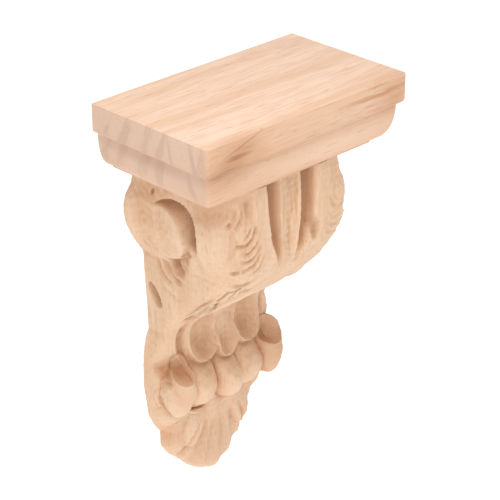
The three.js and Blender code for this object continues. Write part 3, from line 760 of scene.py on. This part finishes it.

# %% [markdown]
# The carved surface starts as a flat grid, as a sheet of clay would. Every point of the grid
# is moved to its place on the block, with the columns evenly spaced round the section. The
# map of painted shade and highlight and the map of stain and painted shade are kept on its
# points, and are 0 on the back, which is plain.


# %% Carve the block
ROWS = 330
COLUMNS = 284
TYPICAL_SECTION = (30, 35, 5)
SAMPLES = 4001


def even_angles(count):
    """Angles that are evenly spaced along a typical section of the block."""
    half, deep, power = TYPICAL_SECTION
    angle = np.linspace(0, np.pi, SAMPLES)
    c, s = np.cos(angle), np.sin(angle)
    reach = (np.abs(c / half) ** power + np.abs(s / deep) ** power) ** (-1 / power)
    x, y = reach * c, reach * s
    length = np.concatenate([[0], np.cumsum(np.hypot(np.diff(x), np.diff(y)))])
    return np.interp(np.linspace(0, length[-1], count), length, angle)


deselect()
bpy.ops.mesh.primitive_grid_add(x_subdivisions=COLUMNS, y_subdivisions=ROWS, size=1)
block = bpy.context.object
block.name = "block_carved"
grid = np.empty(len(block.data.vertices) * 3)
block.data.vertices.foreach_get("co", grid)
grid = grid.reshape(-1, 3)
column = np.rint((grid[:, 0] + 0.5) * COLUMNS).astype(int)
down = (0.5 - grid[:, 1]) * BLOCK_HEIGHT
angle = even_angles(COLUMNS + 1)[column]
x, y, z = carved_surface(angle, down)
at_wall = (column == 0) | (column == COLUMNS)
y = np.where(at_wall, 0, y)
places = np.stack([x, y, z], 1)
block.data.vertices.foreach_set("co", (places * MM).ravel())
block.data.update()
hollow = np.zeros(len(places))
order = np.lexsort((column, down))
hollow[order] = hollowness(places[order].reshape(ROWS + 1, COLUMNS + 1, 3)).ravel()
hollow[at_wall] = 0
# The hollow map carries painted shade in the hollows and a painted highlight on the ridges.
painted_shade_and_highlight_map = block.data.attributes.new("hollow", "FLOAT", "POINT")
painted_shade_and_highlight_map.data.foreach_set("value", hollow)
# This map holds stain at the tears and the knot, and painted shade in the recessed cuts.
stain_and_shade_map = block.data.attributes.new("stain_and_shade", "FLOAT", "POINT")
stain_and_shade_map.data.foreach_set("value", np.where(at_wall, 0, stain_and_shade_share(angle, down)))
print("hollow from", hollow.min().round(2), "to", hollow.max().round(2))

# %% [markdown]
# The sheet is still open. A bridge between its two upright edges makes the flat back, and then
# the open top and tip are filled, so the piece is one sound solid with its faces outwards.

# %% Close the block
BLOCK_SMOOTHING = 50


def select_edges(obj, edges):
    """Selects just these edges, from object mode."""
    chosen = np.zeros(len(obj.data.edges), bool)
    chosen[edges] = True
    obj.data.vertices.foreach_set("select", np.zeros(len(obj.data.vertices), bool))
    obj.data.polygons.foreach_set("select", np.zeros(len(obj.data.polygons), bool))
    obj.data.edges.foreach_set("select", chosen)


bpy.ops.object.mode_set(mode="EDIT")
bpy.ops.mesh.select_mode(type="EDGE")
bpy.ops.mesh.select_all(action="DESELECT")
bpy.ops.mesh.select_non_manifold()
bpy.ops.object.mode_set(mode="OBJECT")
back_edges = []
for edge in block.data.edges:
    if edge.select and column[edge.vertices[0]] == column[edge.vertices[1]]:
        back_edges.append(edge.index)
print(len(back_edges), "edges down the back")
select_edges(block, back_edges)
bpy.ops.object.mode_set(mode="EDIT")
bpy.ops.mesh.bridge_edge_loops()
bpy.ops.mesh.select_all(action="DESELECT")
bpy.ops.mesh.select_non_manifold()
bpy.ops.mesh.fill_holes(sides=0)
bpy.ops.mesh.select_all(action="SELECT")
bpy.ops.mesh.normals_make_consistent(inside=False)
bpy.ops.object.mode_set(mode="OBJECT")
bpy.ops.object.shade_smooth_by_angle(angle=math.radians(BLOCK_SMOOTHING))
print("block_carved has", len(block.data.polygons), "faces")

# %% [markdown]
# The cap board is a moulded board: a square fascia with eased edges, a small step, a long
# ovolo and a fillet. Its profile is written as levels, each so far under the top and so far in
# from the edge, with the two round stretches worked out as arcs. The fillet takes what is left
# of the cap's height.

# %% The cap's profile
CAP_WIDTH = 100
CAP_DEPTH = 58.3
FASCIA_HEIGHT = 11.3
FASCIA_CORNER = 1.6
CORNER_STEPS = 4
STEP_IN = 2.2
STEP_HEIGHT = 1.1
OVOLO_REACH = 5.3
OVOLO_HEIGHT = 12.8
OVOLO_STEPS = 14
FILLET_IN = 1.2

square_part = FASCIA_HEIGHT - FASCIA_CORNER
ovolo_top = FASCIA_HEIGHT + STEP_HEIGHT
fillet_in = STEP_IN + OVOLO_REACH + FILLET_IN
levels = []
for i in range(1, CORNER_STEPS + 1):
    turn = math.pi / 2 * i / CORNER_STEPS
    levels.append((square_part + FASCIA_CORNER * math.sin(turn), FASCIA_CORNER * (1 - math.cos(turn))))
levels += [(FASCIA_HEIGHT, STEP_IN), (ovolo_top, STEP_IN)]
for i in range(1, OVOLO_STEPS + 1):
    turn = math.pi / 2 * i / OVOLO_STEPS
    levels.append((ovolo_top + OVOLO_HEIGHT * math.sin(turn), STEP_IN + OVOLO_REACH * (1 - math.cos(turn))))
levels += [(ovolo_top + OVOLO_HEIGHT, fillet_in), (CAP_HEIGHT, fillet_in)]
print(len(levels), "levels under the square part of the fascia")

# %% [markdown]
# The cap starts as a cube the size of the square fascia. Its two front corners are rounded,
# and its underside is extruded from level to level. Every level is scaled about the wall
# plane, so the moulding runs round three sides and stops flat at the wall.

# %% Make the cap board
FASCIA_SEGMENTS = 6
MERGE_GAP = 0.00001
EASING = 0.55
EASING_STEPS = 3
EASING_FROM = 30
CAP_SMOOTHING = 35
STRAIGHT_DOWN = -0.9


def select_underside(obj):
    """Selects just the faces that look straight down, from object mode."""
    for part in [*obj.data.edges, *obj.data.vertices]:
        part.select = False
    for face in obj.data.polygons:
        face.select = face.normal.z < STRAIGHT_DOWN


deselect()
middle = (0, -CAP_DEPTH * MM / 2, (MOUNT_DROP - square_part / 2) * MM)
bpy.ops.mesh.primitive_cube_add(size=1, location=middle)
cap = bpy.context.object
cap.name = "cap_moulded"
cap.scale = (CAP_WIDTH * MM, CAP_DEPTH * MM, square_part * MM)
bpy.ops.object.transform_apply(location=True, rotation=True, scale=True)
front_uprights = []
for edge in cap.data.edges:
    start, end = [cap.data.vertices[i].co for i in edge.vertices]
    at_front = max(start.y, end.y) < middle[1]
    upright = abs(start.z - end.z) > square_part * MM / 2
    if at_front and upright:
        front_uprights.append(edge.index)
bpy.ops.object.mode_set(mode="EDIT")
bpy.ops.mesh.select_mode(type="EDGE")
bpy.ops.object.mode_set(mode="OBJECT")
select_edges(cap, front_uprights)
bpy.ops.object.mode_set(mode="EDIT")
bpy.ops.mesh.bevel(offset=FASCIA_CORNER * MM, segments=FASCIA_SEGMENTS)
bpy.ops.mesh.select_mode(type="FACE")
bpy.ops.object.mode_set(mode="OBJECT")
select_underside(cap)
bpy.ops.object.mode_set(mode="EDIT")
low, inset = square_part, 0
for next_low, next_inset in levels:
    bpy.ops.mesh.extrude_region_move(TRANSFORM_OT_translate={"value": (0, 0, (low - next_low) * MM)})
    across = (CAP_WIDTH - 2 * next_inset) / (CAP_WIDTH - 2 * inset)
    deep = (CAP_DEPTH - next_inset) / (CAP_DEPTH - inset)
    at_wall_plane = (0, 0, (MOUNT_DROP - next_low) * MM)
    bpy.ops.transform.resize(value=(across, deep, 1), center_override=at_wall_plane)
    low, inset = next_low, next_inset
bpy.ops.mesh.select_all(action="SELECT")
bpy.ops.mesh.remove_doubles(threshold=MERGE_GAP)
bpy.ops.mesh.normals_make_consistent(inside=False)
bpy.ops.object.mode_set(mode="OBJECT")
easing = cap.modifiers.new("eased_edges", "BEVEL")
easing.width = EASING * MM
easing.segments = EASING_STEPS
easing.limit_method = "ANGLE"
easing.angle_limit = math.radians(EASING_FROM)
bpy.ops.object.modifier_apply(modifier=easing.name)
bpy.ops.object.shade_smooth_by_angle(angle=math.radians(CAP_SMOOTHING))
print("cap_moulded has", len(cap.data.polygons), "faces")

# %% [markdown]
# Both pieces are raw rubberwood, sanded but not finished. Their colours come from a small graph
# of nodes that is built in code. A few helpers keep that readable: they mix two colours, turn a
# value into a share, place a pattern, and draw noise that is stretched along one axis.


# %% Shader helpers
NO_TURN = (0, 0, 0)
BLOT_EDGE = 0.8


def srgb(red, green, blue):
    """A screen colour, from 0 to 255, as Blender's own linear colour."""
    return [((v / 255 + 0.055) / 1.055) ** 2.4 for v in (red, green, blue)] + [1]


def add_node(tree, kind, **inputs):
    """A new node with these inputs set."""
    node = tree.nodes.new(kind)
    for name, value in inputs.items():
        node.inputs[name].default_value = value
    return node


def mix_colour(tree, share, first, second):
    """Mixes two colours; each input is a socket or a plain value."""
    mix = tree.nodes.new("ShaderNodeMix")
    mix.data_type = "RGBA"
    for socket, value in ((mix.inputs[0], share), (mix.inputs[6], first), (mix.inputs[7], second)):
        if isinstance(value, bpy.types.NodeSocket):
            tree.links.new(value, socket)
        else:
            socket.default_value = value
    return mix.outputs[2]


def to_range(tree, value, low, high, bottom=0.0, top=1.0):
    """A value as a share that runs from bottom, where it is low, to top, where it is high."""
    node = add_node(tree, "ShaderNodeMapRange")
    tree.links.new(value, node.inputs["Value"])
    for name, number in (("From Min", low), ("From Max", high), ("To Min", bottom), ("To Max", top)):
        node.inputs[name].default_value = number
    return node.outputs["Result"]


def times(tree, first, second):
    """One socket times another socket or a plain value."""
    node = tree.nodes.new("ShaderNodeMath")
    node.operation = "MULTIPLY"
    tree.links.new(first, node.inputs[0])
    if isinstance(second, bpy.types.NodeSocket):
        tree.links.new(second, node.inputs[1])
    else:
        node.inputs[1].default_value = second
    return node.outputs[0]


def placed(tree, coordinates, centre=(0, 0, 0), turn=NO_TURN, scale=(1, 1, 1)):
    """Coordinates from a centre, turned by degrees and then scaled along each axis."""
    moved = tree.nodes.new("ShaderNodeMapping")
    moved.inputs["Location"].default_value = [-v for v in centre]
    tree.links.new(coordinates, moved.inputs["Vector"])
    turned = tree.nodes.new("ShaderNodeMapping")
    turned.inputs["Rotation"].default_value = [math.radians(-v) for v in turn]
    tree.links.new(moved.outputs["Vector"], turned.inputs["Vector"])
    scaled = tree.nodes.new("ShaderNodeMapping")
    scaled.inputs["Scale"].default_value = scale
    tree.links.new(turned.outputs["Vector"], scaled.inputs["Vector"])
    return scaled.outputs["Vector"]


def blot(tree, coordinates, centre, half, turn):
    """1 inside an ellipsoid, fading to 0 at its edge; centre and half are in millimetres."""
    away = tree.nodes.new("ShaderNodeVectorMath")
    away.operation = "LENGTH"
    shape = placed(tree, coordinates, [v * MM for v in centre], turn, [1 / (v * MM) for v in half])
    tree.links.new(shape, away.inputs[0])
    return to_range(tree, away.outputs["Value"], 1.0, 1.0 - BLOT_EDGE)


def stretched_noise(tree, coordinates, stretch, scale, detail, distortion=0.0, turn=NO_TURN):
    """Noise whose coordinates are turned by degrees and then scaled along each axis."""
    mapping = tree.nodes.new("ShaderNodeMapping")
    mapping.inputs["Scale"].default_value = stretch
    if any(turn):
        coordinates = placed(tree, coordinates, turn=turn)
    tree.links.new(coordinates, mapping.inputs["Vector"])
    noise = add_node(tree, "ShaderNodeTexNoise", Scale=scale, Detail=detail, Distortion=distortion)
    tree.links.new(mapping.outputs["Vector"], noise.inputs["Vector"])
    return noise.outputs["Fac"]


def along_grain(grain_axis, share):
    """The scale along each axis of a pattern that is drawn out along the grain."""
    stretch = [1.0, 1.0, 1.0]
    stretch[grain_axis] = share
    return stretch


print("straw is", [round(v, 3) for v in srgb(237, 204, 173)], "in Blender's own linear colour")

# %% [markdown]
# Rubberwood is pale straw to peach, with faint growth bands, dark threads and many short open
# pores that run with the grain, and it is greyer and pinker where the saw cut across the grain.
# Noise stretched along the grain gives the bands, threads and pores, so the pattern goes right
# through the piece as it does in real wood. On the ends of the cap the bands show as slanting
# growth rings. In each range the first two values are where a finish starts and where it is
# full, and the other two, where there are any, are its share of the colour at both.

# %% Raw rubberwood
LONG = 0.07
SHORT = 0.1
THREAD = 0.04
CAP_RINGS = (0.07, 1.0, 0.22)
RING_TURN = (18, 0, 0)
BAND_NOISE = dict(scale=120, detail=3, distortion=0.4)
FIBRE_NOISE = dict(scale=900, detail=2)
THREAD_NOISE = dict(scale=1700, detail=2)
PORE_NOISE = dict(scale=1500, detail=1)
PATCH_NOISE = dict(scale=24, detail=2)
STREAK_NOISE = dict(scale=480, detail=2)
BANDS = (0.38, 0.62)
FIBRES = (0.45, 0.7, 0, 0.5)
THREADS = (0.5, 0.68, 0, 0.5)
# Painted shade on faces turned away from the top.
PAINTED_SIDE_SHADE = (0.6, -0.3, 0, 0.6)
PATCHES = (0.35, 0.65)
LEAST_PATCH = 0.25
END_GRAIN = (0.5, 1.0, 0, 0.8)
# Painted shade on faces turned down across the grain.
PAINTED_UNDER_SHADE = (-0.05, -0.8, 0, 0.8)
RING_LINES = (0.53, 0.6, 0, 0.4)
RING_LINE_COLOUR = srgb(186, 152, 132)
# Painted shade in the hollows and a painted highlight on the ridges.
PAINTED_HOLLOW_SHADE = (0.03, 0.9, 0, 0.75)
PAINTED_RIDGE_HIGHLIGHT = (-0.05, -0.6, 0, 0.5)
# One brown serves the stain at the tears and the knot and the painted shade in the recessed cuts.
STAINS_AND_SHADE = (0, 1, 0, 0.65)
STAIN_AND_SHADE_COLOUR = srgb(158, 108, 66)
STREAKS = (0.48, 0.6)
PORES = (0.66, 0.74)
PORE_SHARE = 0.35
PORE_COLOUR = srgb(176, 128, 88)
PORE_BUMP = dict(Strength=0.25, Distance=0.0002)
RAW_ROUGHNESS = 0.62


def grain_colour(tree, place, grain_axis, bands, light, deep, thread):
    """Growth bands, fibres and dark threads, all running with the grain."""
    fibres = stretched_noise(tree, place, along_grain(grain_axis, SHORT), **FIBRE_NOISE)
    threads = stretched_noise(tree, place, along_grain(grain_axis, THREAD), **THREAD_NOISE)
    colour = mix_colour(tree, to_range(tree, bands, *BANDS), light, deep)
    colour = mix_colour(tree, to_range(tree, fibres, *FIBRES), colour, deep)
    return mix_colour(tree, to_range(tree, threads, *THREADS), colour, thread)


def grain_cut_and_shade_colour(tree, place, grain_axis, bands, colour, end_grain, edge):
    """Painted shade where the wood turns from the top or faces down across the grain, and greyer where the
    grain is cut across.
    """
    geometry = tree.nodes.new("ShaderNodeNewGeometry")
    split = tree.nodes.new("ShaderNodeSeparateXYZ")
    tree.links.new(geometry.outputs["Normal"], split.inputs[0])
    facing = tree.nodes.new("ShaderNodeMath")
    facing.operation = "ABSOLUTE"
    tree.links.new(split.outputs[grain_axis], facing.inputs[0])
    patches = stretched_noise(tree, place, along_grain(grain_axis, LONG), **PATCH_NOISE)
    patch_share = to_range(tree, patches, *PATCHES, LEAST_PATCH, 1)
    side_shade_share = to_range(tree, split.outputs[2], *PAINTED_SIDE_SHADE)
    colour = mix_colour(tree, times(tree, side_shade_share, patch_share), colour, edge)
    across_grain = to_range(tree, facing.outputs[0], *END_GRAIN)
    colour = mix_colour(tree, across_grain, colour, end_grain)
    under_shade_share = to_range(tree, split.outputs[2], *PAINTED_UNDER_SHADE)
    colour = mix_colour(tree, times(tree, under_shade_share, across_grain), colour, edge)
    ring_lines = to_range(tree, bands, *RING_LINES)
    return mix_colour(tree, times(tree, ring_lines, across_grain), colour, RING_LINE_COLOUR)


def painted_shade_and_stain_colour(tree, colour, hollow, light):
    """Painted shade in the hollows, a painted highlight on the ridges, then stain and painted shade from the
    second map.
    """
    painted_shade_and_highlight_map = tree.nodes.new("ShaderNodeAttribute")
    painted_shade_and_highlight_map.attribute_name = "hollow"
    stain_and_shade_map = tree.nodes.new("ShaderNodeAttribute")
    stain_and_shade_map.attribute_name = "stain_and_shade"
    colour = mix_colour(tree, to_range(tree, painted_shade_and_highlight_map.outputs["Fac"], *PAINTED_HOLLOW_SHADE), colour, hollow)
    colour = mix_colour(tree, to_range(tree, painted_shade_and_highlight_map.outputs["Fac"], *PAINTED_RIDGE_HIGHLIGHT), colour, light)
    return mix_colour(tree, to_range(tree, stain_and_shade_map.outputs["Fac"], *STAINS_AND_SHADE), colour, STAIN_AND_SHADE_COLOUR)


def blotted_colour(tree, place, grain_axis, colour, blots):
    """The colour with each blot laid over it."""
    for spot in blots:
        here = blot(tree, place, spot["centre"], spot["half"], spot.get("turn", NO_TURN))
        if spot.get("streaky"):
            streaks = stretched_noise(tree, place, along_grain(grain_axis, SHORT), **STREAK_NOISE)
            here = times(tree, here, to_range(tree, streaks, *STREAKS))
        colour = mix_colour(tree, times(tree, here, spot["share"]), colour, spot["colour"])
    return colour


def rubberwood(name, grain_axis, light, deep, thread, end_grain, edge, hollow=None, blots=()):
    """Raw wood whose grain runs along X (0) or Z (2).

    thread is the colour of its darkest fibres, edge the colour of the painted shade on faces
    turned away from the top, and hollow the colour of the painted shade in the hollows. Blots
    are stains, painted shade or painted light, each with its centre, half, turn, share and colour.
    """
    material = bpy.data.materials.new(name)
    material.use_nodes = True
    tree = material.node_tree
    shader = tree.nodes["Principled BSDF"]
    place = tree.nodes.new("ShaderNodeTexCoord").outputs["Object"]
    lengthways = grain_axis == 0
    rings = CAP_RINGS if lengthways else along_grain(grain_axis, LONG)
    turn = RING_TURN if lengthways else NO_TURN
    bands = stretched_noise(tree, place, rings, turn=turn, **BAND_NOISE)
    colour = grain_colour(tree, place, grain_axis, bands, light, deep, thread)
    colour = grain_cut_and_shade_colour(tree, place, grain_axis, bands, colour, end_grain, edge)
    if hollow:
        colour = painted_shade_and_stain_colour(tree, colour, hollow, light)
    colour = blotted_colour(tree, place, grain_axis, colour, blots)
    pores = stretched_noise(tree, place, along_grain(grain_axis, SHORT), **PORE_NOISE)
    pore_share = to_range(tree, pores, *PORES, 0, PORE_SHARE)
    colour = mix_colour(tree, pore_share, colour, PORE_COLOUR)
    tree.links.new(colour, shader.inputs["Base Color"])
    shader.inputs["Roughness"].default_value = RAW_ROUGHNESS
    bump = add_node(tree, "ShaderNodeBump", **PORE_BUMP)
    bump.invert = True
    tree.links.new(to_range(tree, pores, *PORES), bump.inputs["Height"])
    tree.links.new(bump.outputs["Normal"], shader.inputs["Normal"])
    return material


print("pores darken the wood by up to", PORE_SHARE)

# %% [markdown]
# No two boards have the same marks. The cap has a dark flaw at its left front corner, brown
# streaks at the right and grey marks on its left end, with painted shade along the top of the
# left end's ovolo, under the fascia, and painted light along the front ovolo. The block gets
# painted shade under the cap, on both knobs, in the left scoop and on the shell near the tip,
# and painted light at the neck and the left bowl. Each mark is a soft ellipsoid in the part's
# own place, in millimetres, and a streaky one breaks up along the grain.

# %% The two cuts of wood
BROWN = srgb(196, 138, 92)
DARK = srgb(140, 92, 60)
ORANGE = srgb(216, 152, 104)
PALE = srgb(243, 212, 182)
END_LEAN = (-14, 0, 0)
CAP_BLOTS = [
    # Painted light along the front ovolo.
    dict(centre=(12, -54, 65), half=(52, 9, 7), share=0.6, colour=srgb(243, 208, 180)),
    # Painted shade along the top of the left end's ovolo, under the fascia.
    dict(centre=(-48, -28, 70), half=(5, 34, 4), share=0.4, colour=srgb(188, 146, 118)),
    dict(centre=(-38, -58, 74), half=(20, 6, 14), share=0.6, colour=BROWN, turn=(0, -12, 0)),
    dict(centre=(-33, -58.3, 81.2), half=(13, 2, 0.35), share=0.6, colour=DARK, turn=(0, -17, 0)),
    dict(centre=(-36, -58, 77.6), half=(13, 4, 3.6), share=0.45, colour=BROWN, turn=(0, -17, 0)),
    dict(centre=(-38, -58, 76), half=(12, 3, 5), share=0.55, colour=DARK, turn=(0, -14, 0), streaky=True),
    dict(centre=(-47.4, -58, 75.2), half=(3.4, 2, 2.6), share=0.9, colour=DARK, streaky=True),
    dict(centre=(-44, -58, 71), half=(9, 3, 4), share=0.6, colour=DARK, streaky=True),
    dict(centre=(36, -58, 79), half=(26, 4, 7), share=0.75, colour=BROWN, streaky=True),
    dict(centre=(44, -58, 78), half=(14, 6, 12), share=0.45, colour=BROWN),
    dict(centre=(-50, -40.5, 76), half=(3, 1.3, 12), turn=END_LEAN, share=0.3, colour=srgb(176, 142, 124)),
    dict(centre=(-50, -51.5, 77), half=(3, 1.5, 12), turn=END_LEAN, share=0.35, colour=srgb(170, 136, 122)),
    dict(centre=(-45, -47.5, 66), half=(8, 2.2, 8), turn=(-10, 0, 0), share=0.4, colour=srgb(178, 140, 132)),
]
BLOCK_BLOTS = [
    # Painted shade on the right knob.
    dict(centre=(27, -16, -37), half=(15, 18, 19), share=0.55, colour=BROWN),
    dict(centre=(10, -23, -1.5), half=(4, 7, 4), share=0.6, colour=ORANGE),
    # Painted shade on the left knob.
    dict(centre=(-23, -15, -38), half=(7, 9, 9), share=0.35, colour=srgb(212, 160, 130)),
    # Painted shade under the cap, broken into streaks.
    dict(centre=(5, -47, 37), half=(14, 10, 23), share=0.58, colour=BROWN, streaky=True),
    dict(centre=(-24, -6, -64), half=(8, 9, 10), share=0.5, colour=ORANGE),
    dict(centre=(18, -11, -64), half=(5, 6, 6), share=0.45, colour=ORANGE),
    # Painted shade in the left scoop.
    dict(centre=(-25, -11, -29), half=(9, 11, 7), share=0.62, colour=BROWN),
    # This blot and the next are painted light on the neck and the left bowl.
    dict(centre=(-8, -26, 1), half=(20, 12, 9), share=0.7, colour=PALE),
    dict(centre=(-9, -19, -15), half=(15, 13, 13), share=0.6, colour=PALE),
    dict(centre=(-22, -48, 30), half=(13, 9, 26), share=0.4, colour=srgb(208, 156, 124), streaky=True),
    # Painted shade on the shell near the tip.
    dict(centre=(0, -8, -76), half=(24, 9, 18), share=0.35, colour=srgb(204, 162, 132)),
    dict(centre=(-33, -17, 34), half=(4, 7, 7), share=0.3, colour=ORANGE, streaky=True),
]
# edge is the colour of the painted shade on faces turned from the top, and hollow the colour of the painted
# shade in the hollows.
block_wood = rubberwood(
    "block_rubberwood", 2, blots=BLOCK_BLOTS,
    light=srgb(237, 204, 173), deep=srgb(223, 183, 147), thread=srgb(208, 160, 120),
    end_grain=srgb(212, 168, 132), edge=srgb(222, 180, 144), hollow=srgb(182, 127, 86))
cap_wood = rubberwood(
    "cap_rubberwood", 0, blots=CAP_BLOTS,
    light=srgb(243, 211, 187), deep=srgb(231, 191, 160), thread=srgb(214, 166, 130),
    end_grain=srgb(219, 186, 163), edge=srgb(214, 164, 122))
for piece, wood in ((block, block_wood), (cap, cap_wood)):
    piece.data.materials.clear()
    piece.data.materials.append(wood)
print("two cuts of rubberwood")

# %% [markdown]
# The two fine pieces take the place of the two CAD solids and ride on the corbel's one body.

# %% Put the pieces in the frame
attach(block, "root")
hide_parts("carved_block")
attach(cap, "root")
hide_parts("cap_board")
